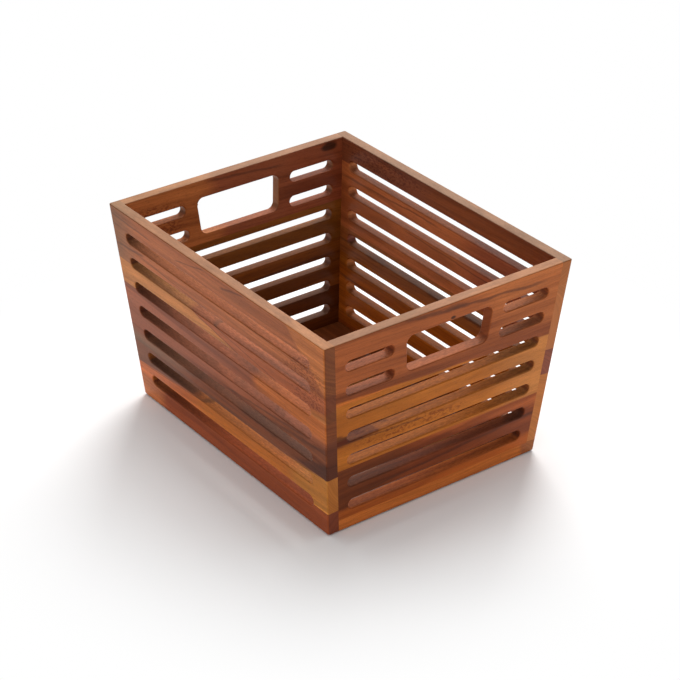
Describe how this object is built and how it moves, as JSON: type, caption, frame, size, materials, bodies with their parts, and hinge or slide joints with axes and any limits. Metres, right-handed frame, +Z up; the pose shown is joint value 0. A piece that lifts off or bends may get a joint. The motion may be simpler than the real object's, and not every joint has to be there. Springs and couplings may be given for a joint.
{
  "type": "wooden crate",
  "caption": "Open slatted wooden crate with leaning walls, rows of round-ended slots and a hand hole in each end.",
  "frame": {"origin": "middle of the foot, on the surface that the crate stands on", "axes": "+X along the length towards one hand hole, +Y across the width, +Z up to the open rim"},
  "size_m": [0.38, 0.307, 0.229],
  "materials": {
    "front_stave_1": "satin lacquer over acacia wood with the grain along the stave",
    "front_stave_2": "satin lacquer over acacia wood with the grain along the stave",
    "front_stave_3": "satin lacquer over acacia wood with the grain along the stave",
    "front_stave_4": "satin lacquer over acacia wood with the grain along the stave",
    "front_stave_5": "satin lacquer over acacia wood with the grain along the stave",
    "back_stave_1": "satin lacquer over acacia wood with the grain along the stave",
    "back_stave_2": "satin lacquer over acacia wood with the grain along the stave",
    "back_stave_3": "satin lacquer over acacia wood with the grain along the stave",
    "back_stave_4": "satin lacquer over acacia wood with the grain along the stave",
    "back_stave_5": "satin lacquer over acacia wood with the grain along the stave",
    "right_stave_1": "satin lacquer over acacia wood with the grain along the stave",
    "right_stave_2": "satin lacquer over acacia wood with the grain along the stave",
    "right_stave_3": "satin lacquer over acacia wood with the grain along the stave",
    "right_stave_4": "satin lacquer over acacia wood with the grain along the stave",
    "left_stave_1": "satin lacquer over acacia wood with the grain along the stave",
    "left_stave_2": "satin lacquer over acacia wood with the grain along the stave",
    "left_stave_3": "satin lacquer over acacia wood with the grain along the stave",
    "left_stave_4": "satin lacquer over acacia wood with the grain along the stave",
    "base_stave_1": "satin lacquer over acacia wood with the grain along the stave",
    "base_stave_2": "satin lacquer over acacia wood with the grain along the stave",
    "base_stave_3": "satin lacquer over acacia wood with the grain along the stave",
    "base_stave_4": "satin lacquer over acacia wood with the grain along the stave",
    "base_stave_5": "satin lacquer over acacia wood with the grain along the stave",
    "dowel": "plain unfinished hardwood"
  },
  "bodies": {
    "root": {"front_stave_1": "front_stave_1", "front_stave_2": "front_stave_2", "front_stave_3": "front_stave_3", "front_stave_4": "front_stave_4", "front_stave_5": "front_stave_5", "back_stave_1": "back_stave_1", "back_stave_2": "back_stave_2", "back_stave_3": "back_stave_3", "back_stave_4": "back_stave_4", "back_stave_5": "back_stave_5", "right_stave_1": "right_stave_1", "right_stave_2": "right_stave_2", "right_stave_3": "right_stave_3", "right_stave_4": "right_stave_4", "left_stave_1": "left_stave_1", "left_stave_2": "left_stave_2", "left_stave_3": "left_stave_3", "left_stave_4": "left_stave_4", "base_stave_1": "base_stave_1", "base_stave_2": "base_stave_2", "base_stave_3": "base_stave_3", "base_stave_4": "base_stave_4", "base_stave_5": "base_stave_5", "corner_dowels": "dowel"}
  },
  "joints": []
}
